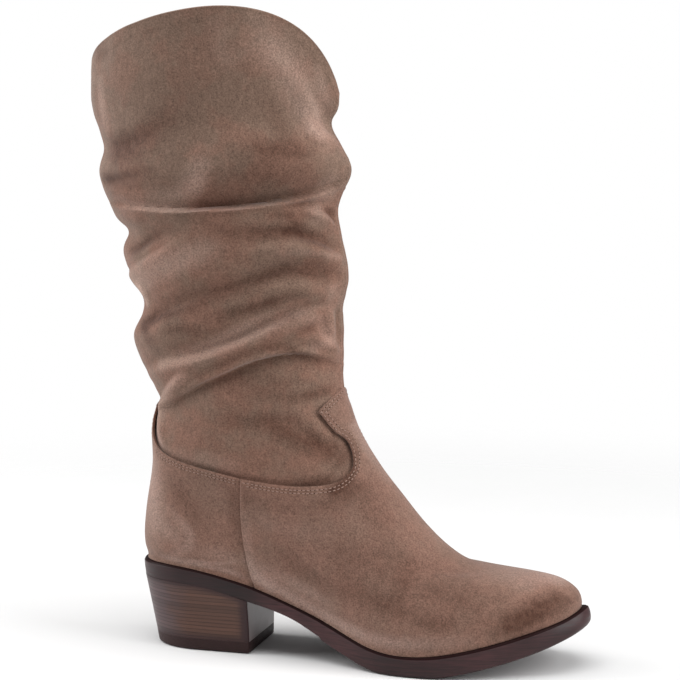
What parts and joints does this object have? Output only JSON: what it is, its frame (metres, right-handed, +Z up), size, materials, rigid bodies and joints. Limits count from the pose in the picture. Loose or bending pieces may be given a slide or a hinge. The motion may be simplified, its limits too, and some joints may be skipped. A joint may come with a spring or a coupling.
{
  "type": "tall slouch boot",
  "caption": "Tall suede slouch boot for the right foot, with soft folds round the ankle, a pointed toe and a stacked block heel.",
  "frame": {"origin": "on the floor, in the middle of the boot's box seen from above", "axes": "+X towards the toe, +Y towards the inner side of the right foot, +Z up"},
  "size_m": [0.3122, 0.0934, 0.3904],
  "materials": {
    "shaft_suede": "soft napped taupe suede, no gloss",
    "foot_suede": "napped taupe suede, burnished darker at the toe",
    "sole": "dark brown, smooth, slightly glossy edge",
    "heel_stack": "brown stacked layers, satin",
    "heel_top_piece": "dark matt rubber",
    "lining": "smooth matt lining leather"
  },
  "bodies": {
    "root": {"upper": "shaft_suede", "vamp": "foot_suede", "counter": "foot_suede", "outsole": "sole", "heel_stack": "heel_stack", "heel_top_piece": "heel_top_piece", "insole": "lining"}
  },
  "joints": []
}
